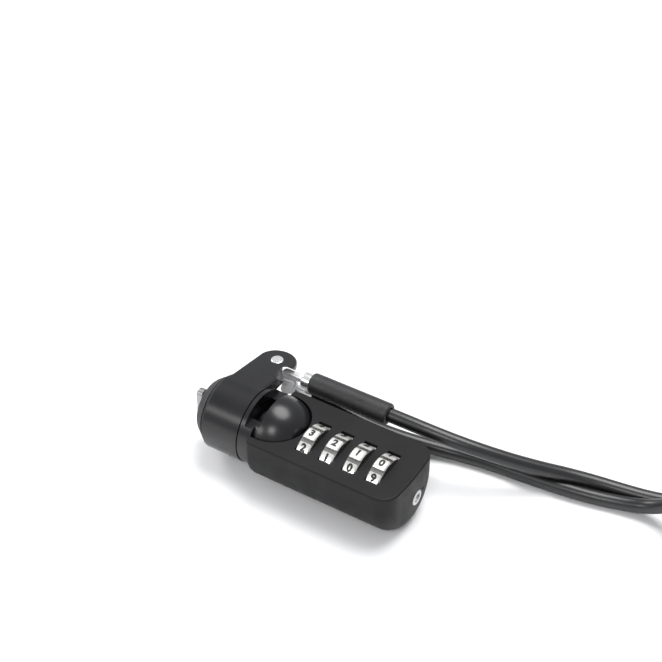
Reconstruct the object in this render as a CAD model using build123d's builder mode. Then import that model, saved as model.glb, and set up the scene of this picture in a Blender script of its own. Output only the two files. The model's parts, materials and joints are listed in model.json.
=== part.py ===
from build123d import *
import math
import os

# Laptop cable lock: a four-dial combination body on a swivelling, domed barrel, with a T-bar for a
# security slot in the nose and a coated steel cable that leaves a swivel collar and comes back to it.
# Millimetres. The lock axis is X, from the nose (x = 0) to the tail. +Z is the dial side, up.
# The body lies on a surface at z = FLOOR_Z. +Y is the side that the cable leaves from.

# ---------------------------------------------------------------- driving dimensions
BODY_HALF_WIDTH = 9.95
BODY_TOP = 4.4
BODY_FRONT = 15.6
BODY_TAIL = 51.3
TAIL_BOW = 0.8
TAIL_CORNER = 4.0
FRONT_CORNER = 1.0
TOP_EDGE_FILLET = 0.45
FLOOR_Z = -BODY_HALF_WIDTH

DOME_X = 17.0
DOME_RADIUS = 8.7
DOME_END = 24.5
POCKET_RADIUS = 8.05
POCKET_FLOOR = 1.5
BARREL_BORE = 6.6
NECK_FRONT = 12.6
WINDOW_FRONT = 13.6
WINDOW_BACK = 16.95
WINDOW_SILL = 5.36
ROTATION_GAP = 0.08
PIN_GROOVE = (15.65, 16.85)
PIN_GROOVE_RADIUS = 7.75
PIN_RADIUS = 0.55
PIN_X = (PIN_GROOVE[0] + PIN_GROOVE[1]) / 2
PIN_Y = 8.35
PIN_SPAN = (-4.0, 3.6)

JOURNAL_RADIUS = 6.2
NOSE_STEP_RADIUS = 5.6
NOSE_STEP_END = 3.2
NOSE_PLATE_RADIUS = 5.0
NOSE_PLATE_THICKNESS = 1.3
NOSE_TIP_RADIUS = 6.6
NOSE_BACK_RADIUS = 8.3
NOSE_SCREW_OFFSET = 3.4
NOSE_SCREW_RADIUS = 0.6
NOSE_SCREW_HEAD_RADIUS = 1.05
NOSE_SCREW_HEAD = 0.6

SHAFT_RADIUS = 1.3
T_HEAD_LENGTH = 6.6
T_HEAD_WIDTH = 2.6
T_HEAD_BACK = -2.1
T_HEAD_THICKNESS = 1.6
LUG_LENGTH = 1.9
LUG_INNER = 1.5
LUG_OUTER = 3.35
LUG_HEIGHT = 2.6
CAM_X = (14.0, 15.8)
CAM_RADIUS = 4.2
CAM_NOTCH = 2.4
CAM_BOSS_RADIUS = 2.3
CLIP_START = 16.6
CLIP_THICKNESS = 0.4
CLIP_RADIUS = 2.2
CLIP_GROOVE_RADIUS = 0.95
SHAFT_END = 17.4

COLLAR_FRONT = 3.4
COLLAR_BACK = 12.4
COLLAR_RADIUS = 8.85
BUSH_OUTER = 6.75
BUSH_BORE = JOURNAL_RADIUS + 0.06
ARM_SLOPE = 10.0
ARM_UNDERSIDE = 4.85
PIVOT_X = 7.9
PIVOT_Y = 14.4
ARM_END_RADIUS = 4.5
RIVET_HEAD_RADIUS = 1.45
RIVET_HEAD_RECESS = 0.45
RIVET_HEAD_THICKNESS = 0.6
RIVET_SHANK_RADIUS = 0.75
RIVET_TAIL_RADIUS = 1.0
RIVET_TAIL_THICKNESS = 0.7
RELIEF_SLANT = (0.67, -0.97, 1.0)

LINK_Z = 3.7
LINK_BAR_RADIUS = 1.0
LINK_BAR_START = 9.4
LINK_END = 15.0
LINK_EYE_RADIUS = 1.9
LINK_EYE_BOTTOM = 0.9
LINK_EYE_TOP = 2.3
LINK_POST_RADIUS = 1.35
LINK_WEB_X = 11.5
PLATE_FRONT_Y = 13.5
PLATE_FACE_THICKNESS = 0.6
PLATE_TANG_THICKNESS = 1.0
RETURN_Z = -0.9

CABLE_DIAMETER = 3.3
CABLE_RADIUS = CABLE_DIAMETER / 2
FERRULE_RADIUS = 1.95
FERRULE_SOLID = 1.5
LEAD_Y = 14.6
FERRULE_END = 20.0
RETURN_FERRULE_START = 13.0
RETURN_FERRULE_END = 17.6
SLEEVE_START = 17.2
SLEEVE_END = 37.4
SLEEVE_RADIUS = 2.5
CABLE_ON_FLOOR = FLOOR_Z + CABLE_RADIUS

DIAL_COUNT = 4
DIAL_PITCH = 5.77
DIAL_AXIS_Y = -1.1
DIAL_RADIUS = 6.2
DIAL_WIDTH = 3.1
DIAL_EDGE = 0.28
GROOVE_DEPTH = 0.5
GROOVE_MOUTH = 1.15
DIGIT_PADS = 10
GROOVE_TURN = 25.0
WINDOW_START = 26.0
SLOT_WIDTH = 3.2
SLOT_LENGTH = 10.3
DIAL_RELIEF_RADIUS = 6.4
SLOT_LEDGE = 0.7
HUB_RADIUS = 3.2
HUB_LENGTH = 4.35
HUB_LEAD = 0.2
GATE_WIDTH = 1.0
GATE_DEPTH = 0.7
SPINDLE_RADIUS = 1.6
SPINDLE_SPAN = (24.7, 49.2)
SPINDLE_GAP = 0.06
SPACER_RADIUS = 2.8
SPACER_PLAY = 0.05
DETENT_Y = (2.6, 4.25)
DETENT_THICKNESS = 0.25
DETENT_FINGER = (1.6, 0.4)
DETENT_FINGER_HEIGHT = 1.9

CHAMBER_FRONT = 25.75
CHAMBER_BACK = 47.6
CHAMBER_RADIUS = 6.75
ROOF_UNDERSIDE = 3.3
SEAM_Z = -6.3
CHAMBER_HALF_WIDTH = 5.5
COVER_FRONT = 24.2
COVER_BACK = 50.6
COVER_SCREW_X = 48.7
COVER_SCREW_Y = 3.6
SCREW_HEAD_RADIUS = 1.3
SCREW_HEAD_Z = -7.8
SCREW_HEAD_THICKNESS = 0.9
SCREW_SHANK_RADIUS = 0.8
SCREW_END_Z = -3.9

RESET_Y = 1.3
RESET_Z = -2.7
RESET_BEZEL_RADIUS = 1.85
RESET_SCREW_RADIUS = 0.95
RESET_SHANK_RADIUS = 0.8
RESET_BEZEL_X = (50.9, 52.15)

COIL_CENTRE = (126.5, 35.0)
COIL_MEAN_RADIUS = 18.1
COIL_LAYERS = 4
COIL_TURNS_ACROSS = 4
COIL_TURNS = 13.83
COIL_PITCH = 3.36
TIE_THICKNESS = 0.5
TIE_WIDTH = 5.0

os.makedirs("parts", exist_ok=True)


def save(part, label):
    part.label = label
    export_step(part, f"parts/{label}.step")


def dial_start(index):
    """Front face of a dial."""
    return WINDOW_START + index * DIAL_PITCH + (SLOT_WIDTH - DIAL_WIDTH) / 2


# ---------------------------------------------------------------- barrel: journal, neck and dome
nose_screw_places = [(0, NOSE_SCREW_OFFSET), (0, -NOSE_SCREW_OFFSET)]
dome_flat_radius = math.sqrt(DOME_RADIUS**2 - (DOME_END - DOME_X) ** 2)
arc_turn = math.atan2(dome_flat_radius, DOME_END - DOME_X)
arc_middle = (math.pi / 2 + arc_turn) / 2
dome_middle = (
    DOME_X + DOME_RADIUS * math.cos(arc_middle),
    DOME_RADIUS * math.sin(arc_middle),
)
with BuildPart() as barrel:
    with BuildSketch(Plane.XY):
        with BuildLine():
            Polyline(
                (NOSE_PLATE_THICKNESS, 0),
                (NOSE_PLATE_THICKNESS, NOSE_STEP_RADIUS),
                (NOSE_STEP_END, NOSE_STEP_RADIUS),
                (NOSE_STEP_END, JOURNAL_RADIUS),
                (NECK_FRONT, JOURNAL_RADIUS),
                (NECK_FRONT, DOME_RADIUS),
                (PIN_GROOVE[0], DOME_RADIUS),
                (PIN_GROOVE[0], PIN_GROOVE_RADIUS),
                (PIN_GROOVE[1], PIN_GROOVE_RADIUS),
                (PIN_GROOVE[1], DOME_RADIUS),
                (DOME_X, DOME_RADIUS),
            )
            ThreePointArc((DOME_X, DOME_RADIUS), dome_middle, (DOME_END, dome_flat_radius))
            Polyline((DOME_END, dome_flat_radius), (DOME_END, 0), (NOSE_PLATE_THICKNESS, 0))
        make_face()
    revolve(axis=Axis.X)
    # cam chamber, closed at the back by a 2 mm wall
    with BuildSketch(Plane.YZ.offset(WINDOW_FRONT - 0.2)):
        Circle(BARREL_BORE)
    extrude(amount=PIN_GROOVE[1] - WINDOW_FRONT + 0.2, mode=Mode.SUBTRACT)
    with BuildSketch(Plane.YZ.offset(PIN_GROOVE[1])):
        Circle(BARREL_BORE)
    extrude(amount=3.0, taper=20, mode=Mode.SUBTRACT)
    with BuildSketch(Plane.YZ.offset(NOSE_PLATE_THICKNESS)):
        Circle(SHAFT_RADIUS + SPINDLE_GAP)
    extrude(amount=WINDOW_FRONT, mode=Mode.SUBTRACT)
    # window in the top of the neck
    window_length = WINDOW_BACK - WINDOW_FRONT
    with BuildSketch(Plane.XY.offset(WINDOW_SILL)):
        with Locations(((WINDOW_FRONT + WINDOW_BACK) / 2, 0)):
            Rectangle(window_length, 2 * DOME_RADIUS)
    extrude(amount=DOME_RADIUS, mode=Mode.SUBTRACT)
    # tapped holes for the nose screws
    with BuildSketch(Plane.YZ.offset(NOSE_PLATE_THICKNESS)):
        with Locations(*nose_screw_places):
            Circle(NOSE_SCREW_RADIUS)
    extrude(amount=5.0, mode=Mode.SUBTRACT)
save(barrel.part, "barrel")

with BuildPart() as nose_bumper:
    with BuildSketch(Plane.XY):
        with BuildLine():
            Polyline(
                (0, NOSE_PLATE_RADIUS),
                (0, NOSE_TIP_RADIUS - 0.4),
                (0.4, NOSE_TIP_RADIUS),
                (NOSE_STEP_END - 0.9, NOSE_BACK_RADIUS - 0.35),
                (NOSE_STEP_END - 0.9, NOSE_BACK_RADIUS - 1.0),
                (NOSE_STEP_END - 0.5, NOSE_BACK_RADIUS - 1.0),
                (NOSE_STEP_END - 0.5, NOSE_BACK_RADIUS),
                (NOSE_STEP_END, NOSE_BACK_RADIUS),
                (NOSE_STEP_END, NOSE_STEP_RADIUS),
                (NOSE_PLATE_THICKNESS, NOSE_STEP_RADIUS),
                (NOSE_PLATE_THICKNESS, NOSE_PLATE_RADIUS),
                close=True,
            )
        make_face()
    revolve(axis=Axis.X)
save(nose_bumper.part, "nose_bumper")

with BuildPart() as nose_plate:
    with BuildSketch(Plane.YZ):
        Circle(NOSE_PLATE_RADIUS)
        Circle(SHAFT_RADIUS + SPINDLE_GAP, mode=Mode.SUBTRACT)
        with Locations(*nose_screw_places):
            Circle(NOSE_SCREW_RADIUS, mode=Mode.SUBTRACT)
    extrude(amount=NOSE_PLATE_THICKNESS)
    # anti-twist lugs that fill the two ends of the security slot
    with BuildSketch(Plane.YZ):
        for side in (-1, 1):
            with Locations((side * (LUG_INNER + LUG_OUTER) / 2, 0)):
                RectangleRounded(LUG_OUTER - LUG_INNER, LUG_HEIGHT, 0.5)
    extrude(amount=-LUG_LENGTH)
    with BuildSketch(Plane.YZ):
        with Locations(*nose_screw_places):
            Circle(NOSE_SCREW_HEAD_RADIUS)
    extrude(amount=NOSE_SCREW_HEAD, mode=Mode.SUBTRACT)
save(nose_plate.part, "nose_plate")

with BuildPart() as nose_screws:
    with BuildSketch(Plane.YZ):
        with Locations(*nose_screw_places):
            Circle(NOSE_SCREW_HEAD_RADIUS)
    extrude(amount=NOSE_SCREW_HEAD)
    with BuildSketch(Plane.YZ):
        with Locations(*nose_screw_places):
            Circle(NOSE_SCREW_RADIUS)
    extrude(amount=NOSE_PLATE_THICKNESS + 4.0)
    with BuildSketch(Plane.YZ):
        with Locations(*nose_screw_places):
            Rectangle(1.5, 0.3)
    extrude(amount=0.3, mode=Mode.SUBTRACT)
save(nose_screws.part, "nose_screws")

# ---------------------------------------------------------------- T-bar and its cam
with BuildPart() as t_bar:
    with BuildSketch(Plane.YZ.offset(T_HEAD_BACK - T_HEAD_THICKNESS)):
        SlotOverall(T_HEAD_LENGTH, T_HEAD_WIDTH, rotation=90)
    extrude(amount=T_HEAD_THICKNESS)
    fillet(t_bar.edges().group_by(Axis.X)[0], 0.4)
    with BuildSketch(Plane.YZ.offset(T_HEAD_BACK)):
        Circle(SHAFT_RADIUS)
    extrude(amount=SHAFT_END - T_HEAD_BACK)
    # groove for the clip
    with BuildSketch(Plane.YZ.offset(CLIP_START)):
        Circle(SHAFT_RADIUS)
        Circle(CLIP_GROOVE_RADIUS, mode=Mode.SUBTRACT)
    extrude(amount=CLIP_THICKNESS, mode=Mode.SUBTRACT)
save(t_bar.part, "t_bar")

with BuildPart() as t_bar_cam:
    with BuildSketch(Plane.YZ.offset(CAM_X[0])):
        Circle(CAM_RADIUS)
        with Locations((CAM_RADIUS + CAM_NOTCH / 4, 0)):
            Rectangle(CAM_NOTCH, CAM_NOTCH, mode=Mode.SUBTRACT)
        Circle(SHAFT_RADIUS, mode=Mode.SUBTRACT)
    extrude(amount=CAM_X[1] - CAM_X[0])
    with BuildSketch(Plane.YZ.offset(CAM_X[1])):
        Circle(CAM_BOSS_RADIUS)
        Circle(SHAFT_RADIUS, mode=Mode.SUBTRACT)
    extrude(amount=CLIP_START - CAM_X[1])
save(t_bar_cam.part, "t_bar_cam")

with BuildPart() as cam_clip:
    with BuildSketch(Plane.YZ.offset(CLIP_START)):
        Circle(CLIP_RADIUS)
        Circle(CLIP_GROOVE_RADIUS, mode=Mode.SUBTRACT)
        with Locations((0, -1.6)):
            Rectangle(1.2, 1.8, mode=Mode.SUBTRACT)
    extrude(amount=CLIP_THICKNESS)
save(cam_clip.part, "cam_clip")

# ---------------------------------------------------------------- swivel collar with its cable arm
slope = math.radians(ARM_SLOPE)
arm_reach = PIVOT_Y + ARM_END_RADIUS


def arm_top(y):
    """Height of the arm's sloping top, a plane that is tangent to the collar."""
    return (COLLAR_RADIUS - y * math.sin(slope)) / math.cos(slope)


tangent_point = (COLLAR_RADIUS * math.sin(slope), COLLAR_RADIUS * math.cos(slope))
underside_y = math.sqrt(COLLAR_RADIUS**2 - ARM_UNDERSIDE**2)
rivet_head_z = arm_top(PIVOT_Y) - RIVET_HEAD_RECESS
with BuildPart() as swivel_collar:
    with BuildSketch(Plane.YZ.offset(COLLAR_FRONT)):
        with BuildLine():
            Polyline(
                tangent_point,
                (arm_reach + 1, arm_top(arm_reach + 1)),
                (arm_reach + 1, ARM_UNDERSIDE),
                (underside_y, ARM_UNDERSIDE),
                (0, 0),
                close=True,
            )
        make_face()
    extrude(amount=COLLAR_BACK - COLLAR_FRONT)
    # plan of the arm, with its round end about the rivet
    with BuildSketch(Plane.XY.offset(-COLLAR_RADIUS)):
        with BuildLine():
            Polyline(
                (COLLAR_FRONT, PIVOT_Y),
                (COLLAR_FRONT, -1),
                (COLLAR_BACK, -1),
                (COLLAR_BACK, PIVOT_Y),
            )
            ThreePointArc((COLLAR_BACK, PIVOT_Y), (PIVOT_X, arm_reach), (COLLAR_FRONT, PIVOT_Y))
        make_face()
    extrude(amount=3 * COLLAR_RADIUS, mode=Mode.INTERSECT)
    fillet(swivel_collar.faces().filter_by(Axis.Z, tolerance=15).sort_by(Axis.Z)[-1].edges(), 0.5)
    with BuildSketch(Plane.YZ.offset(COLLAR_FRONT)):
        Circle(COLLAR_RADIUS)
    extrude(amount=COLLAR_BACK - COLLAR_FRONT)
    # slanted relief in the arm's flank, which the link lies under
    with BuildSketch(Plane.XY.offset(ARM_UNDERSIDE - 0.8)):
        with Locations((PIVOT_X + 3.9, PIVOT_Y - 0.9)):
            RectangleRounded(6.4, 4.6, 1.3)
    extrude(amount=7.0, dir=RELIEF_SLANT, mode=Mode.SUBTRACT)
    with BuildSketch(Plane.YZ.offset(COLLAR_FRONT)):
        Circle(BUSH_OUTER)
    extrude(amount=COLLAR_BACK - COLLAR_FRONT, mode=Mode.SUBTRACT)
    with BuildSketch(Plane.XY):
        with Locations((PIVOT_X, PIVOT_Y)):
            Circle(RIVET_SHANK_RADIUS)
    extrude(amount=3 * COLLAR_RADIUS, mode=Mode.SUBTRACT)
    with BuildSketch(Plane.XY.offset(rivet_head_z)):
        with Locations((PIVOT_X, PIVOT_Y)):
            Circle(RIVET_HEAD_RADIUS)
    extrude(amount=3.0, mode=Mode.SUBTRACT)
save(swivel_collar.part, "swivel_collar")

with BuildPart() as collar_bush:
    with BuildSketch(Plane.YZ.offset(COLLAR_FRONT + 0.1)):
        Circle(BUSH_OUTER)
        Circle(BUSH_BORE, mode=Mode.SUBTRACT)
    extrude(amount=COLLAR_BACK - COLLAR_FRONT - 0.2)
save(collar_bush.part, "collar_bush")

rivet_tail_z = LINK_EYE_BOTTOM - 0.1
with BuildPart() as pivot_rivet:
    with BuildSketch(Plane.XY.offset(rivet_head_z)):
        with Locations((PIVOT_X, PIVOT_Y)):
            Circle(RIVET_HEAD_RADIUS)
    extrude(amount=RIVET_HEAD_THICKNESS)
    fillet(pivot_rivet.edges().group_by(Axis.Z)[-1], 0.25)
    with BuildSketch(Plane.XY.offset(rivet_tail_z)):
        with Locations((PIVOT_X, PIVOT_Y)):
            Circle(RIVET_SHANK_RADIUS)
    extrude(amount=rivet_head_z - rivet_tail_z)
    with BuildSketch(Plane.XY.offset(rivet_tail_z)):
        with Locations((PIVOT_X, PIVOT_Y)):
            Circle(RIVET_TAIL_RADIUS)
    extrude(amount=-RIVET_TAIL_THICKNESS)
save(pivot_rivet.part, "pivot_rivet")

# ---------------------------------------------------------------- link, ferrules and sleeve
with BuildPart() as cable_link:
    # eye about the rivet
    with BuildSketch(Plane.XY.offset(LINK_EYE_BOTTOM)):
        with Locations((PIVOT_X, PIVOT_Y)):
            Circle(LINK_EYE_RADIUS)
        with Locations((PIVOT_X + 1.6, PIVOT_Y)):
            Rectangle(3.2, 2.4)
    extrude(amount=LINK_EYE_TOP - LINK_EYE_BOTTOM)
    with BuildSketch(Plane.XY.offset(LINK_EYE_TOP)):
        with Locations((PIVOT_X, PIVOT_Y)):
            Circle(LINK_POST_RADIUS)
    extrude(amount=ARM_UNDERSIDE - 0.1 - LINK_EYE_TOP)
    with BuildSketch(Plane.XY.offset(LINK_EYE_BOTTOM)):
        with Locations((PIVOT_X, PIVOT_Y)):
            Circle(RIVET_SHANK_RADIUS + SPINDLE_GAP)
    extrude(amount=ARM_UNDERSIDE, mode=Mode.SUBTRACT)
    # web up to the round bar
    with BuildSketch(Plane.XY.offset(LINK_EYE_BOTTOM)):
        with Locations((LINK_WEB_X, LEAD_Y)):
            RectangleRounded(3.2, 1.5, 0.5)
    extrude(amount=LINK_Z - LINK_EYE_BOTTOM)
    with BuildSketch(Plane.XZ.offset(-LEAD_Y)):
        with BuildLine():
            Line((LINK_BAR_START, LINK_Z), (LINK_END, LINK_Z))
            Line((LINK_END, LINK_Z), (LINK_END, LINK_Z + 0.7))
            Line((LINK_END, LINK_Z + 0.7), (LINK_END - 0.9, LINK_Z + LINK_BAR_RADIUS))
            Line(
                (LINK_END - 0.9, LINK_Z + LINK_BAR_RADIUS),
                (LINK_BAR_START + LINK_BAR_RADIUS, LINK_Z + LINK_BAR_RADIUS),
            )
            RadiusArc(
                (LINK_BAR_START + LINK_BAR_RADIUS, LINK_Z + LINK_BAR_RADIUS),
                (LINK_BAR_START, LINK_Z),
                -LINK_BAR_RADIUS,
            )
        make_face()
    revolve(axis=Axis((0, LEAD_Y, LINK_Z), (1, 0, 0)))
save(cable_link.part, "cable_link")

with BuildPart() as link_plate:
    # bright pentagonal face
    with BuildSketch(Plane.XZ.offset(-PLATE_FRONT_Y)):
        with BuildLine():
            Polyline(
                (9.7, 0.8),
                (9.8, 2.3),
                (12.8, 2.5),
                (12.9, 2.0),
                (12.2, -1.0),
                (9.9, -2.5),
                (9.2, -0.9),
                close=True,
            )
        make_face()
    extrude(amount=-PLATE_FACE_THICKNESS)
    # tang behind the face, which reaches into the lower ferrule
    with BuildSketch(Plane.XZ.offset(-PLATE_FRONT_Y - PLATE_FACE_THICKNESS)):
        with BuildLine():
            Polyline(
                (9.4, 0.6),
                (11.6, 0.6),
                (12.9, 0.2),
                (13.6, 0.2),
                (13.6, -1.8),
                (11.4, -1.8),
                (9.9, -2.5),
                (9.2, -0.9),
                close=True,
            )
        make_face()
    extrude(amount=-PLATE_TANG_THICKNESS)
save(link_plate.part, "link_plate")


def ferrule(start, end, y, z):
    """A crimped tube on the cable's end, closed at the end that the link holds."""
    with BuildPart() as body:
        with BuildSketch(Plane.YZ.offset(start)):
            with Locations((y, z)):
                Circle(FERRULE_RADIUS)
        extrude(amount=end - start)
        fillet(body.edges().group_by(Axis.X)[0], 0.35)
        with BuildSketch(Plane.YZ.offset(end)):
            with Locations((y, z)):
                Circle(CABLE_RADIUS)
        extrude(amount=start + FERRULE_SOLID - end, mode=Mode.SUBTRACT)
    return body.part


with BuildPart() as cable_ferrule:
    add(ferrule(LINK_END, FERRULE_END, LEAD_Y, LINK_Z))
save(cable_ferrule.part, "cable_ferrule")

with BuildPart() as return_ferrule:
    add(ferrule(RETURN_FERRULE_START, RETURN_FERRULE_END, LEAD_Y, RETURN_Z))
    # socket for the tang
    with BuildSketch(Plane.XZ.offset(-PLATE_FRONT_Y - PLATE_FACE_THICKNESS)):
        with Locations((RETURN_FERRULE_START + 0.3, -0.8)):
            Rectangle(0.6, 2.0)
    extrude(amount=-PLATE_TANG_THICKNESS, mode=Mode.SUBTRACT)
save(return_ferrule.part, "return_ferrule")

with BuildPart() as cable_sleeve:
    with BuildSketch(Plane.YZ.offset(SLEEVE_START)):
        with Locations((LEAD_Y, LINK_Z)):
            Circle(SLEEVE_RADIUS)
    extrude(amount=SLEEVE_END - SLEEVE_START)
    fillet(cable_sleeve.edges(), 0.6)
    with BuildSketch(Plane.YZ.offset(SLEEVE_START)):
        with Locations((LEAD_Y, LINK_Z)):
            Circle(FERRULE_RADIUS)
    extrude(amount=FERRULE_END - SLEEVE_START, mode=Mode.SUBTRACT)
    with BuildSketch(Plane.YZ.offset(SLEEVE_START)):
        with Locations((LEAD_Y, LINK_Z)):
            Circle(CABLE_RADIUS)
    extrude(amount=SLEEVE_END - SLEEVE_START, mode=Mode.SUBTRACT)
save(cable_sleeve.part, "cable_sleeve")

# ---------------------------------------------------------------- the cable
# One cable, coiled in the middle: it leaves the upper ferrule, is put away in a coil and comes back
# to the lower ferrule.
lead_route = [
    (FERRULE_END - 1.0, LEAD_Y, LINK_Z),
    (39.5, LEAD_Y, LINK_Z),
    (54.0, 16.6, 1.6),
    (66.5, 22.6, -3.0),
    (77.5, 29.4, -6.9),
    (89.5, 32.6, CABLE_ON_FLOOR),
    (98.5, 34.6, CABLE_ON_FLOOR),
    (105.3, 38.8, CABLE_ON_FLOOR + 0.3),
    (110.2, 45.1, CABLE_ON_FLOOR + 0.9),
]
return_route = [
    (RETURN_FERRULE_END - 1.5, LEAD_Y, RETURN_Z),
    (26.0, LEAD_Y + 0.2, RETURN_Z - 0.9),
    (35.0, 18.0, -5.6),
    (46.0, 22.2, CABLE_ON_FLOOR),
    (57.0, 23.3, CABLE_ON_FLOOR),
    (70.0, 24.2, CABLE_ON_FLOOR),
    (83.0, 26.4, CABLE_ON_FLOOR),
    (91.0, 28.3, CABLE_ON_FLOOR),
    (100.5, 29.6, CABLE_ON_FLOOR + 2.5),
    (108.0, 27.6, CABLE_ON_FLOOR + 7.0),
    (114.5, 22.1, CABLE_ON_FLOOR + 10.0),
]


def corner_radii(route):
    """The arc of each corner: 0.45 of the shorter run, over the tangent of half the turn."""
    points = [Vector(*point) for point in route]
    radii = []
    for before, corner, after in zip(points, points[1:], points[2:]):
        run_in = corner - before
        run_out = after - corner
        half_turn = math.radians(run_in.get_angle(run_out)) / 2
        radii.append(0.45 * min(run_in.length, run_out.length) / math.tan(half_turn))
    return radii


def cable_tube(route):
    """A tube of the cable's diameter along straight runs joined by tangent arcs."""
    radii = corner_radii(route)
    with BuildPart() as tube:
        with BuildLine() as path:
            FilletPolyline(*route, radius=radii)
        start = Vector(*route[0])
        heading = Vector(*route[1]) - start
        with BuildSketch(Plane(origin=start, z_dir=heading)):
            Circle(CABLE_RADIUS)
        sweep(path=path.wires()[0])
    length = path.wires()[0].length
    share = tube.part.volume / (math.pi * CABLE_RADIUS**2 * length)
    print("radii", [round(radius, 1) for radius in radii], "length", round(length, 1))
    print("volume over section times length", round(share, 4))
    return tube.part, length


lead_part, lead_length = cable_tube(lead_route)
with BuildPart() as cable_lead:
    add(lead_part)
save(cable_lead.part, "cable_lead")

return_part, return_length = cable_tube(return_route)
with BuildPart() as cable_return:
    add(return_part)
save(cable_return.part, "cable_return")

coil_width = (COIL_TURNS_ACROSS - 1) * COIL_PITCH + CABLE_DIAMETER
coil_height = (COIL_LAYERS - 1) * COIL_PITCH + CABLE_DIAMETER
coil_bottom = FLOOR_Z + TIE_THICKNESS
with BuildPart() as cable_coil:
    with BuildSketch(Plane.XZ.offset(-COIL_CENTRE[1])):
        with Locations((COIL_CENTRE[0] + COIL_MEAN_RADIUS, coil_bottom + coil_height / 2)):
            RectangleRounded(coil_width, coil_height, CABLE_RADIUS)
    revolve(axis=Axis((COIL_CENTRE[0], COIL_CENTRE[1], 0), (0, 0, 1)))
save(cable_coil.part, "cable_coil")
coiled_length = COIL_TURNS * 2 * math.pi * COIL_MEAN_RADIUS
print("cable length", round(lead_length + return_length + coiled_length, 1))

with BuildPart() as coil_tie:
    with BuildSketch(Plane.XZ.offset(-COIL_CENTRE[1])):
        with Locations((COIL_CENTRE[0] + COIL_MEAN_RADIUS, coil_bottom + coil_height / 2)):
            RectangleRounded(
                coil_width + 2 * TIE_THICKNESS,
                coil_height + 2 * TIE_THICKNESS,
                CABLE_RADIUS + TIE_THICKNESS,
            )
            RectangleRounded(coil_width, coil_height, CABLE_RADIUS, mode=Mode.SUBTRACT)
    extrude(amount=TIE_WIDTH / 2, both=True)
save(coil_tie.part, "coil_tie")

# ---------------------------------------------------------------- body shape
with BuildPart() as body_shape:
    # flat top, upright sides and a half-round belly about the lock axis
    with BuildSketch(Plane.YZ.offset(BODY_FRONT)):
        with BuildLine():
            Polyline(
                (-BODY_HALF_WIDTH, 0),
                (-BODY_HALF_WIDTH, BODY_TOP),
                (BODY_HALF_WIDTH, BODY_TOP),
                (BODY_HALF_WIDTH, 0),
            )
            ThreePointArc((BODY_HALF_WIDTH, 0), (0, FLOOR_Z), (-BODY_HALF_WIDTH, 0))
        make_face()
    extrude(amount=BODY_TAIL + 3 - BODY_FRONT)
    # plan, with a slightly bowed tail
    with BuildSketch(Plane.XY.offset(FLOOR_Z)):
        with BuildLine():
            Polyline(
                (BODY_TAIL, BODY_HALF_WIDTH),
                (BODY_FRONT, BODY_HALF_WIDTH),
                (BODY_FRONT, -BODY_HALF_WIDTH),
                (BODY_TAIL, -BODY_HALF_WIDTH),
            )
            ThreePointArc(
                (BODY_TAIL, -BODY_HALF_WIDTH),
                (BODY_TAIL + TAIL_BOW, 0),
                (BODY_TAIL, BODY_HALF_WIDTH),
            )
        make_face()
    extrude(amount=BODY_TOP - FLOOR_Z, mode=Mode.INTERSECT)
    # the tail's outline is well rounded, the front's only a little
    below_top = body_shape.edges().filter_by(lambda edge: edge.center().Z < BODY_TOP - 0.1)
    tail_outline = below_top.filter_by(lambda edge: edge.center().X > BODY_TAIL - 1)
    fillet(tail_outline, TAIL_CORNER)
    front_outline = body_shape.faces().sort_by(Axis.X)[0].edges()
    fillet(front_outline.filter_by(lambda edge: edge.center().Z < BODY_TOP - 0.1), FRONT_CORNER)
    top_face = body_shape.faces().sort_by(Axis.Z)[-1]
    fillet(top_face.edges().filter_by(lambda edge: edge.center().X > BODY_FRONT + 0.1), TOP_EDGE_FILLET)

with BuildPart() as cover_space:
    with BuildSketch(Plane.XY.offset(SEAM_Z)):
        with Locations(((COVER_FRONT + COVER_BACK) / 2, 0)):
            Rectangle(COVER_BACK - COVER_FRONT, 3 * BODY_HALF_WIDTH)
    extrude(amount=-BODY_HALF_WIDTH)

screw_places = [(COVER_SCREW_X, COVER_SCREW_Y), (COVER_SCREW_X, -COVER_SCREW_Y)]
pin_places = [(PIN_X, PIN_Y), (PIN_X, -PIN_Y)]

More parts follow.
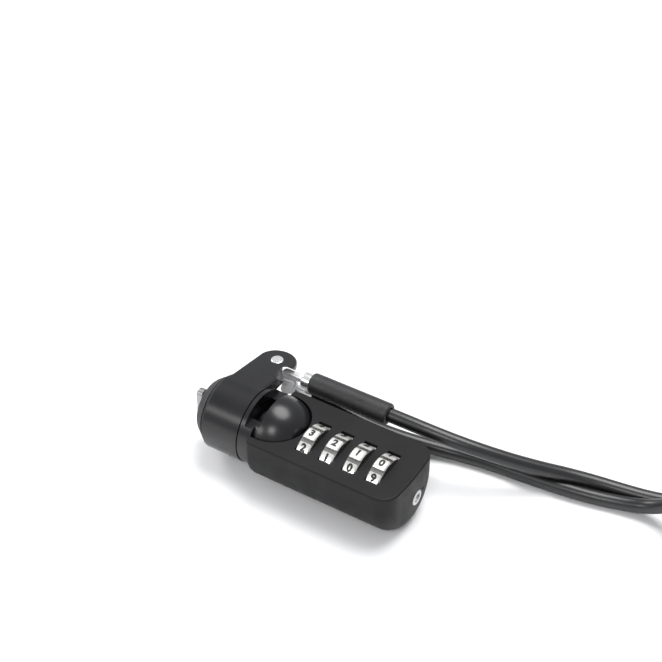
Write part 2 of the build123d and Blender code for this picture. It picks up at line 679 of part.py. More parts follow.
# ---------------------------------------------------------------- body housing
with BuildPart() as body_housing:
    add(body_shape.part)
    add(cover_space.part, mode=Mode.SUBTRACT)
    # socket for the barrel: a short bore, then the ball-shaped cavity
    with BuildSketch(Plane.YZ.offset(BODY_FRONT)):
        Circle(DOME_RADIUS + ROTATION_GAP)
    extrude(amount=DOME_X - BODY_FRONT, mode=Mode.SUBTRACT)
    socket_radius = DOME_RADIUS + ROTATION_GAP
    socket_end = DOME_END + 0.1
    socket_flat = math.sqrt(socket_radius**2 - (socket_end - DOME_X) ** 2)
    socket_turn = (math.pi / 2 + math.atan2(socket_flat, socket_end - DOME_X)) / 2
    with BuildSketch(Plane.XY):
        with BuildLine():
            Polyline((DOME_X, socket_radius), (DOME_X, 0), (socket_end, 0), (socket_end, socket_flat))
            ThreePointArc(
                (socket_end, socket_flat),
                (
                    DOME_X + socket_radius * math.cos(socket_turn),
                    socket_radius * math.sin(socket_turn),
                ),
                (DOME_X, socket_radius),
            )
        make_face()
    revolve(axis=Axis.X, mode=Mode.SUBTRACT)
    # round pocket that lets the dome show through the top
    with BuildSketch(Plane.XY.offset(POCKET_FLOOR)):
        with Locations((DOME_X, 0)):
            Circle(POCKET_RADIUS)
        with Locations(((BODY_FRONT + DOME_X) / 2, 0)):
            Rectangle(DOME_X - BODY_FRONT, 2 * POCKET_RADIUS)
    extrude(amount=BODY_TOP, mode=Mode.SUBTRACT)
    # dial chamber under the roof, open to the base cover
    with BuildSketch(Plane.YZ.offset(CHAMBER_FRONT)):
        with Locations((DIAL_AXIS_Y, 0)):
            Circle(CHAMBER_RADIUS)
        with Locations((DIAL_AXIS_Y, SEAM_Z / 2)):
            Rectangle(2 * CHAMBER_HALF_WIDTH, -SEAM_Z)
        with Locations((DIAL_AXIS_Y, ROOF_UNDERSIDE + CHAMBER_RADIUS)):
            Rectangle(2 * CHAMBER_RADIUS, 2 * CHAMBER_RADIUS, mode=Mode.SUBTRACT)
    extrude(amount=CHAMBER_BACK - CHAMBER_FRONT, mode=Mode.SUBTRACT)
    # dial windows, relieved to the dials' circle
    for index in range(DIAL_COUNT):
        slot_start = WINDOW_START + index * DIAL_PITCH
        with BuildSketch(Plane.YZ.offset(slot_start)):
            with Locations((DIAL_AXIS_Y, BODY_TOP)):
                Rectangle(SLOT_LENGTH, 2 * SLOT_LEDGE)
            with Locations((DIAL_AXIS_Y, 0)):
                Circle(DIAL_RELIEF_RADIUS)
        extrude(amount=SLOT_WIDTH, mode=Mode.SUBTRACT)
    # spindle, reset and bezel holes along X
    with BuildSketch(Plane.YZ.offset(socket_end)):
        with Locations((DIAL_AXIS_Y, 0)):
            Circle(SPINDLE_RADIUS)
    extrude(amount=SPINDLE_SPAN[1] - socket_end, mode=Mode.SUBTRACT)
    with BuildSketch(Plane.YZ.offset(CHAMBER_BACK)):
        with Locations((RESET_Y, RESET_Z)):
            Circle(RESET_SHANK_RADIUS + SPINDLE_GAP)
    extrude(amount=RESET_BEZEL_X[0] - CHAMBER_BACK, mode=Mode.SUBTRACT)
    with BuildSketch(Plane.YZ.offset(RESET_BEZEL_X[0])):
        with Locations((RESET_Y, RESET_Z)):
            Circle(RESET_BEZEL_RADIUS)
    extrude(amount=3.0, mode=Mode.SUBTRACT)
    # small index notch beside the reset screw
    with BuildSketch(Plane.YZ.offset(BODY_TAIL + 0.35)):
        with Locations((RESET_Y + 2.8, RESET_Z + 0.4)):
            Rectangle(0.9, 0.45)
    extrude(amount=2.0, mode=Mode.SUBTRACT)
    # pin holes, drilled from below, and tapped holes for the cover screws
    with BuildSketch(Plane.XY.offset(PIN_SPAN[1])):
        with Locations(*pin_places):
            Circle(PIN_RADIUS)
    extrude(amount=-3 * PIN_SPAN[1], mode=Mode.SUBTRACT)
    with BuildSketch(Plane.XY.offset(SEAM_Z)):
        with Locations(*screw_places):
            Circle(SCREW_SHANK_RADIUS)
    extrude(amount=SCREW_END_Z - SEAM_Z, mode=Mode.SUBTRACT)
save(body_housing.part, "body_housing")

with BuildPart() as base_cover:
    add(body_shape.part)
    add(cover_space.part, mode=Mode.INTERSECT)
    with BuildSketch(Plane.XY.offset(SEAM_Z)):
        with Locations(*screw_places):
            Circle(SCREW_SHANK_RADIUS)
    extrude(amount=-BODY_HALF_WIDTH, mode=Mode.SUBTRACT)
    with BuildSketch(Plane.XY.offset(SCREW_HEAD_Z + SCREW_HEAD_THICKNESS)):
        with Locations(*screw_places):
            Circle(SCREW_HEAD_RADIUS)
    extrude(amount=-BODY_HALF_WIDTH, mode=Mode.SUBTRACT)
save(base_cover.part, "base_cover")

with BuildPart() as cover_screws:
    with BuildSketch(Plane.XY.offset(SCREW_HEAD_Z)):
        with Locations(*screw_places):
            Circle(SCREW_HEAD_RADIUS)
    extrude(amount=SCREW_HEAD_THICKNESS)
    with BuildSketch(Plane.XY.offset(SCREW_HEAD_Z)):
        with Locations(*screw_places):
            Circle(SCREW_SHANK_RADIUS)
    extrude(amount=SCREW_END_Z - SCREW_HEAD_Z)
    with BuildSketch(Plane.XY.offset(SCREW_HEAD_Z)):
        with Locations(*screw_places):
            Rectangle(2.0, 0.4)
            Rectangle(0.4, 2.0)
    extrude(amount=0.45, mode=Mode.SUBTRACT)
save(cover_screws.part, "cover_screws")

with BuildPart() as retaining_pins:
    with BuildSketch(Plane.XY.offset(PIN_SPAN[0])):
        with Locations(*pin_places):
            Circle(PIN_RADIUS)
    extrude(amount=PIN_SPAN[1] - PIN_SPAN[0])
save(retaining_pins.part, "retaining_pins")

# ---------------------------------------------------------------- dials
with BuildPart() as dial_spindle:
    with BuildSketch(Plane.YZ.offset(SPINDLE_SPAN[0])):
        with Locations((DIAL_AXIS_Y, 0)):
            Circle(SPINDLE_RADIUS)
    extrude(amount=SPINDLE_SPAN[1] - SPINDLE_SPAN[0])
save(dial_spindle.part, "dial_spindle")

for index in range(DIAL_COUNT):
    start = dial_start(index)
    axis = Axis((0, DIAL_AXIS_Y, 0), (1, 0, 0))
    with BuildPart() as dial:
        with BuildSketch(Plane.XY):
            with BuildLine():
                Polyline(
                    (start, DIAL_AXIS_Y + HUB_RADIUS),
                    (start, DIAL_AXIS_Y + DIAL_RADIUS - DIAL_EDGE),
                    (start + DIAL_EDGE, DIAL_AXIS_Y + DIAL_RADIUS),
                    (start + DIAL_WIDTH - DIAL_EDGE, DIAL_AXIS_Y + DIAL_RADIUS),
                    (start + DIAL_WIDTH, DIAL_AXIS_Y + DIAL_RADIUS - DIAL_EDGE),
                    (start + DIAL_WIDTH, DIAL_AXIS_Y + HUB_RADIUS),
                    close=True,
                )
            make_face()
        revolve(axis=axis)
        with BuildSketch(Plane.YZ.offset(start)):
            with Locations((DIAL_AXIS_Y, 0)):
                with PolarLocations(DIAL_RADIUS, DIGIT_PADS, start_angle=90 + GROOVE_TURN):
                    Trapezoid(GROOVE_MOUTH * 1.4, 2 * GROOVE_DEPTH, 120, rotation=90)
        extrude(amount=DIAL_WIDTH, mode=Mode.SUBTRACT)
    save(dial.part, f"dial_{index + 1}")

    with BuildPart() as hub:
        with BuildSketch(Plane.YZ.offset(start - HUB_LEAD)):
            with Locations((DIAL_AXIS_Y, 0)):
                Circle(HUB_RADIUS)
                Circle(SPINDLE_RADIUS + SPINDLE_GAP, mode=Mode.SUBTRACT)
        extrude(amount=HUB_LENGTH)
        # gate that the code lines up
        with BuildSketch(Plane.YZ.offset(start + DIAL_WIDTH)):
            with Locations((DIAL_AXIS_Y, -HUB_RADIUS)):
                Rectangle(GATE_WIDTH, 2 * GATE_DEPTH)
        extrude(amount=HUB_LENGTH, mode=Mode.SUBTRACT)
    save(hub.part, f"dial_hub_{index + 1}")

with BuildPart() as spindle_spacers:
    for index in range(DIAL_COUNT - 1):
        spacer_start = dial_start(index) - HUB_LEAD + HUB_LENGTH + SPACER_PLAY
        spacer_end = dial_start(index + 1) - HUB_LEAD - SPACER_PLAY
        with BuildSketch(Plane.YZ.offset(spacer_start)):
            with Locations((DIAL_AXIS_Y, 0)):
                Circle(SPACER_RADIUS)
                Circle(SPINDLE_RADIUS, mode=Mode.SUBTRACT)
        extrude(amount=spacer_end - spacer_start)
save(spindle_spacers.part, "spindle_spacers")

with BuildPart() as detent_spring:
    # leaf along the chamber floor with a finger for each dial
    with BuildSketch(Plane.XY.offset(SEAM_Z)):
        with Locations(((CHAMBER_FRONT + CHAMBER_BACK) / 2, (DETENT_Y[0] + DETENT_Y[1]) / 2)):
            Rectangle(CHAMBER_BACK - CHAMBER_FRONT - 0.4, DETENT_Y[1] - DETENT_Y[0])
    extrude(amount=DETENT_THICKNESS)
    for index in range(DIAL_COUNT):
        with BuildSketch(Plane.XY.offset(SEAM_Z)):
            with Locations((dial_start(index) + DIAL_WIDTH / 2, DETENT_Y[1] - DETENT_FINGER[1] / 2)):
                Rectangle(*DETENT_FINGER)
        extrude(amount=DETENT_FINGER_HEIGHT)
save(detent_spring.part, "detent_spring")

# ---------------------------------------------------------------- reset
with BuildPart() as reset_bezel:
    with BuildSketch(Plane.YZ.offset(RESET_BEZEL_X[0])):
        with Locations((RESET_Y, RESET_Z)):
            Circle(RESET_BEZEL_RADIUS)
            Circle(RESET_SCREW_RADIUS + SPINDLE_GAP, mode=Mode.SUBTRACT)
    extrude(amount=RESET_BEZEL_X[1] - RESET_BEZEL_X[0])
    fillet(reset_bezel.edges().group_by(Axis.X)[-1].sort_by(SortBy.RADIUS)[-1], 0.25)
save(reset_bezel.part, "reset_bezel")

with BuildPart() as reset_screw:
    with BuildSketch(Plane.YZ.offset(CHAMBER_BACK + 0.3)):
        with Locations((RESET_Y, RESET_Z)):
            Circle(RESET_SHANK_RADIUS)
    extrude(amount=RESET_BEZEL_X[0] - CHAMBER_BACK)
    with BuildSketch(Plane.YZ.offset(RESET_BEZEL_X[0] + 0.05)):
        with Locations((RESET_Y, RESET_Z)):
            Circle(RESET_SCREW_RADIUS)
    extrude(amount=RESET_BEZEL_X[1] - RESET_BEZEL_X[0] - 0.3)
    with BuildSketch(Plane.YZ.offset(RESET_BEZEL_X[1] - 0.25)):
        with Locations((RESET_Y, RESET_Z)):
            Rectangle(1.5, 0.35)
    extrude(amount=-0.35, mode=Mode.SUBTRACT)
save(reset_screw.part, "reset_screw")
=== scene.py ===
import json
import math

import bmesh
import bpy
from mathutils import Matrix, Vector


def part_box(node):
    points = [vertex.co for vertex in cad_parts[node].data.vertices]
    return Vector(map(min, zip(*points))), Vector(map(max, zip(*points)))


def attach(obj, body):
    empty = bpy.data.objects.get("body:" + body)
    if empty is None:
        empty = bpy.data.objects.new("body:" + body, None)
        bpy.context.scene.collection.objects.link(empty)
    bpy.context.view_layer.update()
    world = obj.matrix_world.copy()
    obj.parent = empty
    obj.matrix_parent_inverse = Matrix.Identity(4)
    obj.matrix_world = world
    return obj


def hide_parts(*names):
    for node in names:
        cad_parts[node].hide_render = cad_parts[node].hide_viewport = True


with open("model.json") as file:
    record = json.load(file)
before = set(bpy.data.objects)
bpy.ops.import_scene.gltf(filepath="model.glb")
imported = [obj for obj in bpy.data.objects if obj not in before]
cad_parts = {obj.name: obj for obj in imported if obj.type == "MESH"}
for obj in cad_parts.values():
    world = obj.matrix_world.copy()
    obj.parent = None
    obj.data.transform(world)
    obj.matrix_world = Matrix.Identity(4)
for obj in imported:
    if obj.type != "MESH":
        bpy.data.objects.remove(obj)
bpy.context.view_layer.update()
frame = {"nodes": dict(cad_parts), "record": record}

# Laptop cable lock. Lengths are written in millimetres and turned to metres by mm().
# +X runs from the nose to the tail, +Y is the cable's side, +Z is the dials' side.
MM = 0.001
FLOOR_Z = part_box("coil_tie")[0][2]
LOCK_BOTTOM = -9.95
CABLE_DIAMETER = 3.3
CABLE_ON_FLOOR = LOCK_BOTTOM + CABLE_DIAMETER / 2
DIAL_COUNT = 4
DIAL_AXIS_Y = -1.1
DIAL_RADIUS = 6.2
DIGIT_PADS = 10


def mm(*point):
    return Vector(point) * MM


# ---------------------------------------------------------------- camera
camera_data = bpy.data.cameras.new("camera")
camera_data.lens = 80.37
camera_data.sensor_width = 36.0
camera_data.clip_start = 0.01
camera = bpy.data.objects.new("camera", camera_data)
bpy.context.collection.objects.link(camera)
camera_right = Vector((0.84654844, 0.53231081, -0.00096692))
camera_up = Vector((-0.33267857, 0.53048411, 0.77968684))
camera_back = Vector((0.41554867, -0.65972101, 0.6261689))
camera.matrix_world = Matrix.Translation(mm(155.0, -196.25, 220.9)) @ Matrix(
    (camera_right, camera_up, camera_back)
).transposed().to_4x4()
bpy.context.scene.camera = camera
bpy.context.scene.view_settings.view_transform = "Standard"

# ---------------------------------------------------------------- the cable
# One cable: out of the upper ferrule, along the desk, through the put-away coil, and back under
# itself to the lower ferrule.
LEAD_Y = 14.6
LINK_Z = 3.7
RETURN_Z = -0.9
lead_points = [
    (20.0, LEAD_Y, LINK_Z),
    (39.5, LEAD_Y, LINK_Z),
    (54.0, 16.6, 1.6),
    (66.5, 22.6, -3.0),
    (77.5, 29.4, -6.9),
    (89.5, 32.3, CABLE_ON_FLOOR),
    (96.4, 34.0, CABLE_ON_FLOOR),
    (101.0, 37.2, CABLE_ON_FLOOR),
    (103.5, 40.2, CABLE_ON_FLOOR + 0.2),
]
return_points = [
    (104.6, 25.2, 1.9),
    (99.8, 28.8, -2.6),
    (93.8, 29.3, -7.2),
    (87.0, 28.0, CABLE_ON_FLOOR),
    (79.0, 26.1, CABLE_ON_FLOOR),
    (68.0, 24.9, CABLE_ON_FLOOR),
    (57.0, 24.3, CABLE_ON_FLOOR),
    (46.0, 22.2, CABLE_ON_FLOOR),
    (35.0, 18.0, -5.6),
    (26.0, LEAD_Y + 0.2, RETURN_Z - 0.9),
    (16.5, LEAD_Y, RETURN_Z),
]
COIL_CENTRE = (126.5, 35.0)
COIL_MEAN_RADIUS = 18.1
COIL_PITCH = 3.36
COIL_LAYERS = 4
COIL_TURNS = 13.83
COIL_ENTRY = math.radians(160)
TIE_THICKNESS = 0.5
COIL_BOTTOM = LOCK_BOTTOM + TIE_THICKNESS
POINTS_PER_TURN = 16
SPIRAL_TURNS = 3.0


def coil_points():
    """Turns side by side, inwards on one layer and outwards on the next, climbing between layers."""
    points = []
    layer_turns = COIL_TURNS / COIL_LAYERS
    outer = COIL_MEAN_RADIUS + SPIRAL_TURNS / 2 * COIL_PITCH
    count = round(COIL_TURNS * POINTS_PER_TURN)
    for step in range(count + 1):
        turn = COIL_TURNS * step / count
        layer = min(int(turn / layer_turns), COIL_LAYERS - 1)
        inside = turn - layer * layer_turns
        travel = min(inside / SPIRAL_TURNS, 1.0) * SPIRAL_TURNS * COIL_PITCH
        radius = outer - travel if layer % 2 == 0 else outer - SPIRAL_TURNS * COIL_PITCH + travel
        climb = max(0.0, inside - SPIRAL_TURNS) / (layer_turns - SPIRAL_TURNS)
        if layer == COIL_LAYERS - 1:
            climb = 0.0
        height = COIL_BOTTOM + CABLE_DIAMETER / 2 + COIL_PITCH * (layer + climb)
        angle = COIL_ENTRY - 2 * math.pi * turn
        points.append(
            (
                COIL_CENTRE[0] + radius * math.cos(angle),
                COIL_CENTRE[1] + radius * math.sin(angle),
                height,
            )
        )
    return points


def nurbs_curve(name, points, diameter):
    data = bpy.data.curves.new(name, "CURVE")
    data.dimensions = "3D"
    data.bevel_depth = 1.0  # times each point's radius
    data.bevel_resolution = 6
    data.use_fill_caps = True
    data.resolution_u = 6
    spline = data.splines.new("NURBS")
    spline.points.add(len(points) - 1)
    for target, point in zip(spline.points, points):
        target.co = (*mm(*point), 1.0)
        target.radius = diameter / 2 * MM
    spline.order_u = 3
    spline.use_endpoint_u = True
    curve = bpy.data.objects.new(name, data)
    bpy.context.collection.objects.link(curve)
    return curve


cable = nurbs_curve("security_cable", lead_points + coil_points() + return_points, CABLE_DIAMETER)
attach(cable, "cable")
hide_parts("cable_lead", "cable_return", "cable_coil")


# ---------------------------------------------------------------- material helpers
class Nodes:
    """A material's node tree, with short ways to add and join nodes."""

    def __init__(self, name):
        self.material = bpy.data.materials.new(name)
        self.material.use_nodes = True
        self.tree = self.material.node_tree
        self.shader = self.tree.nodes["Principled BSDF"]
        self.place = self.tree.nodes.new("ShaderNodeTexCoord").outputs["Object"]

    def join(self, source, target):
        self.tree.links.new(source, target)

    def set(self, **values):
        for key, value in values.items():
            self.shader.inputs[key.replace("_", " ")].default_value = value

    def stretched(self, scale):
        mapping = self.tree.nodes.new("ShaderNodeMapping")
        mapping.inputs["Scale"].default_value = scale
        self.join(self.place, mapping.inputs["Vector"])
        return mapping.outputs["Vector"]

    def noise(self, scale, detail=3.0, rough=0.5, stretch=(1, 1, 1)):
        node = self.tree.nodes.new("ShaderNodeTexNoise")
        node.inputs["Scale"].default_value = scale
        node.inputs["Detail"].default_value = detail
        node.inputs["Roughness"].default_value = rough
        self.join(self.stretched(stretch), node.inputs["Vector"])
        return node.outputs["Fac"]

    def voronoi(self, scale):
        node = self.tree.nodes.new("ShaderNodeTexVoronoi")
        node.inputs["Scale"].default_value = scale
        self.join(self.place, node.inputs["Vector"])
        return node.outputs["Distance"]

    def ramp(self, source, stops):
        node = self.tree.nodes.new("ShaderNodeValToRGB")
        first, last = node.color_ramp.elements
        first.position, first.color = stops[0][0], (*stops[0][1], 1)
        last.position, last.color = stops[-1][0], (*stops[-1][1], 1)
        for position, colour in stops[1:-1]:
            node.color_ramp.elements.new(position).color = (*colour, 1)
        self.join(source, node.inputs["Fac"])
        return node.outputs["Color"]

    def range(self, source, low, high, from_low=0.3, from_high=0.7):
        node = self.tree.nodes.new("ShaderNodeMapRange")
        node.inputs["From Min"].default_value = from_low
        node.inputs["From Max"].default_value = from_high
        node.inputs["To Min"].default_value = low
        node.inputs["To Max"].default_value = high
        self.join(source, node.inputs["Value"])
        return node.outputs["Result"]

    def mix(self, factor, first, second):
        node = self.tree.nodes.new("ShaderNodeMix")
        node.data_type = "RGBA"
        self.join(factor, node.inputs["Factor"])
        self.join(first, node.inputs["A"])
        node.inputs["B"].default_value = (*second, 1)
        return node.outputs["Result"]

    def bump(self, source, strength, distance):
        node = self.tree.nodes.new("ShaderNodeBump")
        node.inputs["Strength"].default_value = strength
        node.inputs["Distance"].default_value = distance
        self.join(source, node.inputs["Height"])
        previous = self.shader.inputs["Normal"].links
        if previous:
            self.join(previous[0].from_socket, node.inputs["Normal"])
        self.join(node.outputs["Normal"], self.shader.inputs["Normal"])

    def colour(self, source):
        self.join(source, self.shader.inputs["Base Color"])

    def roughness(self, source):
        self.join(source, self.shader.inputs["Roughness"])


def body_paint():
    """Satin graphite paint: a fine orange-peel and faint clouding."""
    m = Nodes("body_paint")
    m.set(Specular_IOR_Level=0.2)
    m.colour(m.ramp(m.noise(90, 4), [(0.3, (0.0050, 0.0050, 0.0056)), (0.7, (0.0085, 0.0085, 0.0092))]))
    m.roughness(m.range(m.noise(300, 3), 0.42, 0.55))
    m.bump(m.noise(2600, 2), 0.12, 0.00006)
    return m.material


def gloss_black():
    """Polished black lacquer with faint fine scratches and dust."""
    m = Nodes("gloss_black")
    m.set(Specular_IOR_Level=0.4, Coat_Weight=0.15, Coat_Roughness=0.2)
    m.colour(m.ramp(m.noise(160, 5), [(0.35, (0.004, 0.004, 0.005)), (0.75, (0.007, 0.007, 0.008))]))
    m.roughness(m.range(m.noise(90, 2), 0.26, 0.30))
    m.bump(m.noise(300, 2), 0.03, 0.00003)
    return m.material


def nose_rubber():
    m = Nodes("nose_rubber")
    m.colour(m.ramp(m.noise(500, 4), [(0.3, (0.012, 0.012, 0.013)), (0.7, (0.024, 0.024, 0.026))]))
    m.roughness(m.range(m.noise(700, 3), 0.55, 0.75))
    m.bump(m.noise(2200, 3), 0.25, 0.0001)
    return m.material


def metal(name, dark, light, low, high, stretch, metallic=1.0):
    """Bare or plated metal with directional tool marks and slight staining."""
    grain = 1500
    m = Nodes(name)
    m.set(Metallic=metallic)
    m.colour(m.ramp(m.noise(240, 4), [(0.3, dark), (0.72, light)]))
    m.roughness(m.range(m.noise(grain, 4, 0.6, stretch), low, high))
    m.bump(m.noise(grain, 3, 0.5, stretch), 0.12, 0.00005)
    return m.material


def dial_nickel():
    """Nickel plate on the dials' pads, with painted shade that darkens the colour towards the bottom of
    the grooves.
    """
    groove_bottom = (DIAL_RADIUS - 0.6) * MM
    groove_shoulder = (DIAL_RADIUS - 0.15) * MM
    m = Nodes("dial_nickel")
    m.set(Metallic=0.8)
    plate = m.ramp(m.noise(300, 4), [(0.3, (0.74, 0.73, 0.70)), (0.7, (0.90, 0.89, 0.87))])
    offset = m.tree.nodes.new("ShaderNodeVectorMath")
    offset.operation = "MULTIPLY_ADD"
    offset.inputs[1].default_value = (0, 1, 1)
    offset.inputs[2].default_value = (0, -DIAL_AXIS_Y * MM, 0)
    m.join(m.place, offset.inputs[0])
    radius = m.tree.nodes.new("ShaderNodeVectorMath")
    radius.operation = "LENGTH"
    m.join(offset.outputs["Vector"], radius.inputs[0])
    # painted shade: 0 on the pads, 1 at the groove bottoms, where a dark colour is mixed in for the
    # shade in the grooves
    painted_groove_shade = m.range(radius.outputs["Value"], 1.0, 0.0, groove_bottom, groove_shoulder)
    m.colour(m.mix(painted_groove_shade, plate, (0.10, 0.098, 0.094)))
    m.roughness(m.range(m.noise(1500, 4, 0.6, (8, 1, 1)), 0.22, 0.34))
    m.bump(m.noise(1500, 3, 0.5, (8, 1, 1)), 0.08, 0.00004)
    return m.material


def sleeve_rubber():
    m = Nodes("sleeve_rubber")
    m.colour(m.ramp(m.noise(350, 4), [(0.3, (0.009, 0.009, 0.010)), (0.7, (0.017, 0.017, 0.018))]))
    m.roughness(m.range(m.noise(900, 3), 0.42, 0.58))
    m.bump(m.noise(1800, 3), 0.2, 0.00008)
    return m.material


def cable_vinyl():
    """Clear-black vinyl over the strands, whose lay shows as a faint ripple."""
    m = Nodes("cable_vinyl")
    m.set(Coat_Weight=0.15, Coat_Roughness=0.25)
    m.colour(m.ramp(m.noise(260, 4), [(0.3, (0.005, 0.005, 0.006)), (0.7, (0.010, 0.010, 0.011))]))
    m.roughness(m.range(m.noise(300, 4), 0.30, 0.36))
    m.bump(m.noise(500, 2), 0.04, 0.00008)
    return m.material


def strap():
    m = Nodes("tie_fabric")
    m.colour(m.ramp(m.voronoi(2600), [(0.1, (0.010, 0.010, 0.012)), (0.6, (0.035, 0.035, 0.04))]))
    m.roughness(m.range(m.noise(900, 3), 0.8, 0.95))
    m.bump(m.voronoi(2600), 0.6, 0.00015)
    m.set(Sheen_Weight=0.4)
    return m.material


def ink():
    """Black filled numeral paint."""
    m = Nodes("digit_ink")
    m.colour(m.ramp(m.noise(900, 3), [(0.3, (0.006, 0.006, 0.006)), (0.7, (0.016, 0.016, 0.017))]))
    m.roughness(m.range(m.noise(1200, 2), 0.35, 0.5))
    return m.material


# how the tool marks are stretched: none, round the lock's axis, along it
EVEN = (1, 1, 1)
TURNED = (8, 1, 1)
DRAWN = (1, 8, 8)
finishes = {
    "body_paint": body_paint(),
    "gloss_black": gloss_black(),
    "nose_rubber": nose_rubber(),
    "zinc_plate": metal("zinc_plate", (0.42, 0.42, 0.40), (0.60, 0.60, 0.58), 0.28, 0.42, EVEN),
    "dial_nickel": dial_nickel(),
    "black_oxide": metal(
        "black_oxide", (0.02, 0.02, 0.021), (0.035, 0.035, 0.037), 0.35, 0.5, TURNED
    ),
    "bright_chrome": metal(
        "bright_chrome", (0.80, 0.80, 0.80), (0.92, 0.92, 0.93), 0.20, 0.30, EVEN, metallic=0.95
    ),
    "hardened_steel": metal(
        "hardened_steel", (0.30, 0.30, 0.31), (0.45, 0.45, 0.46), 0.26, 0.40, DRAWN
    ),
    "brass_part": metal("brass_part", (0.60, 0.42, 0.17), (0.78, 0.58, 0.28), 0.22, 0.36, TURNED),
    "sleeve_rubber": sleeve_rubber(),
    "cable_vinyl": cable_vinyl(),
    "tie_fabric": strap(),
    "spring_steel": metal("spring_steel", (0.45, 0.45, 0.47), (0.6, 0.6, 0.62), 0.2, 0.3, TURNED),
}
node_slots = {row["node"]: row["material_slot"] for row in frame["record"]["subparts"]}
for name, node in frame["nodes"].items():
    node.data.materials.clear()
    node.data.materials.append(finishes[node_slots[name]])

# pieces whose metal differs from the rest of their slot; the link plate and the link bar are lit copies
# of the bright metal, with painted light in their colour
# painted reflection: the plate's metal is given a near-white, hardly metallic colour so that it shows
# bright
plate_painted_bright = metal(
    "plate_painted_bright", (0.88, 0.88, 0.88), (0.96, 0.96, 0.96), 0.3, 0.4, EVEN, metallic=0.1
)
# painted light: the bar's metal is given a part-diffuse grey that the lamps brighten in place of its
# dark reflections
bar_painted_lit = metal("bar_painted_lit", (0.62, 0.62, 0.62), (0.76, 0.76, 0.77), 0.30, 0.38, EVEN, metallic=0.6)
bezel_chrome = metal("bezel_chrome", (0.50, 0.50, 0.51), (0.62, 0.62, 0.63), 0.34, 0.42, EVEN)
frame["nodes"]["link_plate"].data.materials[0] = plate_painted_bright
frame["nodes"]["cable_link"].data.materials[0] = bar_painted_lit
frame["nodes"]["reset_bezel"].data.materials[0] = bezel_chrome
cable.data.materials.append(finishes["cable_vinyl"])

# ---------------------------------------------------------------- numbers on the dials
FIRST_DIGIT_TURN = 4.3
DIGIT_HEIGHT = 1.95
DIGIT_BOLD = 0.125
CAP_HEIGHT_SHARE = 0.72
DIGIT_STRIP = 0.2
STRIP_SHIFT = DIGIT_STRIP / 7  # so that no cut meets a vertex
INK_HEIGHT = 0.045
FIRST_DIAL_TOP_DIGIT = 3
digit_ink = ink()


def digit_mesh(text):
    """A numeral in millimetres, centred, and cut into strips so that it can bend round the dial."""
    data = bpy.data.curves.new("numeral", "FONT")
    data.body = text
    data.size = (DIGIT_HEIGHT - 2 * DIGIT_BOLD) / CAP_HEIGHT_SHARE
    data.align_x = "CENTER"
    data.extrude = INK_HEIGHT
    data.resolution_u = 4
    data.offset = DIGIT_BOLD
    holder = bpy.data.objects.new("numeral", data)
    bpy.context.collection.objects.link(holder)
    bpy.context.view_layer.update()
    mesh = bpy.data.meshes.new_from_object(
        holder.evaluated_get(bpy.context.evaluated_depsgraph_get())
    )
    bpy.data.objects.remove(holder)
    xs = [vertex.co.x for vertex in mesh.vertices]
    ys = [vertex.co.y for vertex in mesh.vertices]
    middle = Vector(((min(xs) + max(xs)) / 2, (min(ys) + max(ys)) / 2, 0))
    cuts = bmesh.new()
    cuts.from_mesh(mesh)
    bmesh.ops.translate(cuts, verts=cuts.verts, vec=-middle)
    height = -DIGIT_HEIGHT + STRIP_SHIFT
    while height < DIGIT_HEIGHT:
        everything = cuts.verts[:] + cuts.edges[:] + cuts.faces[:]
        bmesh.ops.bisect_plane(cuts, geom=everything, plane_co=(0, height, 0), plane_no=(0, 1, 0))
        height += DIGIT_STRIP
    cuts.to_mesh(mesh)
    cuts.free()
    return mesh


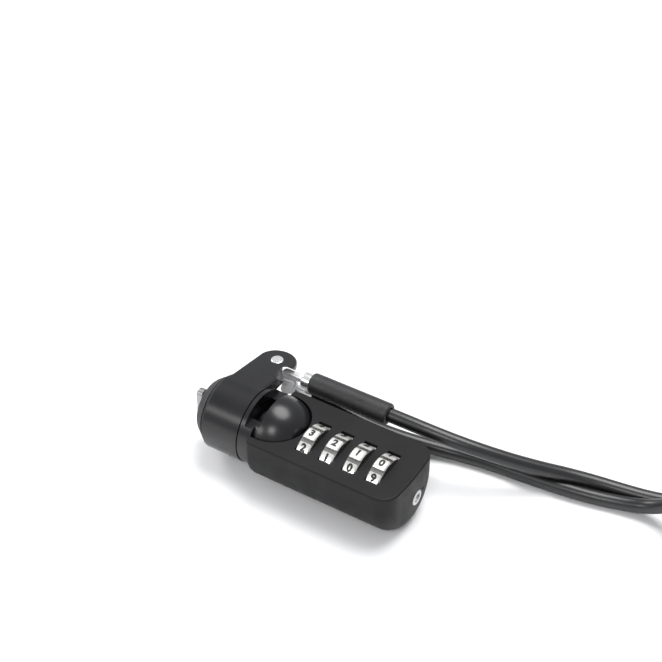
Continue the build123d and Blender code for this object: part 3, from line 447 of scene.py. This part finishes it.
for dial in range(DIAL_COUNT):
    low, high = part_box(f"dial_{dial + 1}")
    middle_x = (low[0] + high[0]) / 2
    vertices = []
    faces = []
    for pad in range(DIGIT_PADS):
        numeral = digit_mesh(str((FIRST_DIAL_TOP_DIGIT - dial - pad) % DIGIT_PADS))
        turn = math.radians(FIRST_DIGIT_TURN + 360.0 / DIGIT_PADS * pad)
        start = len(vertices)
        for vertex in numeral.vertices:
            angle = turn - vertex.co.y / DIAL_RADIUS
            radius = DIAL_RADIUS + vertex.co.z
            vertices.append(
                (
                    middle_x + vertex.co.x * MM,
                    (DIAL_AXIS_Y - radius * math.sin(angle)) * MM,
                    radius * math.cos(angle) * MM,
                )
            )
        faces.extend([tuple(start + i for i in face.vertices) for face in numeral.polygons])
        bpy.data.meshes.remove(numeral)
    mesh = bpy.data.meshes.new(f"dial_numbers_{dial + 1}")
    mesh.from_pydata(vertices, [], faces)
    mesh.materials.append(digit_ink)
    numbers = bpy.data.objects.new(f"dial_numbers_{dial + 1}", mesh)
    bpy.context.collection.objects.link(numbers)
    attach(numbers, f"dial_{dial + 1}")


# ---------------------------------------------------------------- floor and light
def floor():
    m = Nodes("floor")
    m.colour(m.ramp(m.noise(3, 2), [(0.3, (0.86, 0.86, 0.865)), (0.7, (0.89, 0.89, 0.895))]))
    m.set(Roughness=0.55)
    reach = 4.0
    mesh = bpy.data.meshes.new("floor")
    corners = [(x * reach, y * reach, FLOOR_Z) for x, y in ((-1, -1), (1, -1), (1, 1), (-1, 1))]
    mesh.from_pydata(corners, [], [(0, 1, 2, 3)])
    mesh.materials.append(m.material)
    plane = bpy.data.objects.new("floor", mesh)
    bpy.context.collection.objects.link(plane)


def area_light(name, place, size, power):
    """An oval lamp that faces the front half of the lock."""
    target = Vector((0.03, 0.0, 0.0))
    data = bpy.data.lights.new(name, "AREA")
    data.shape = "ELLIPSE"
    data.size, data.size_y = size
    data.energy = power
    light = bpy.data.objects.new(name, data)
    light.location = place
    light.rotation_euler = (target - Vector(place)).to_track_quat("-Z", "Y").to_euler()
    bpy.context.collection.objects.link(light)


floor()
area_light("overhead", (0.10, 0.30, 0.85), (0.7, 0.6), 8.0)
area_light("front", (0.20, -0.55, 0.60), (0.28, 0.28), 1.6)
area_light("low_front", (-0.25, -0.60, 0.42), (0.24, 0.24), 0.9)
area_light("side", (-0.6, 0.1, 0.5), (0.4, 0.3), 2.0)
world = bpy.data.worlds.new("studio")
world.use_nodes = True
world.node_tree.nodes["Background"].inputs["Color"].default_value = (0.97, 0.98, 1.0, 1)
world.node_tree.nodes["Background"].inputs["Strength"].default_value = 0.6
bpy.context.scene.world = world
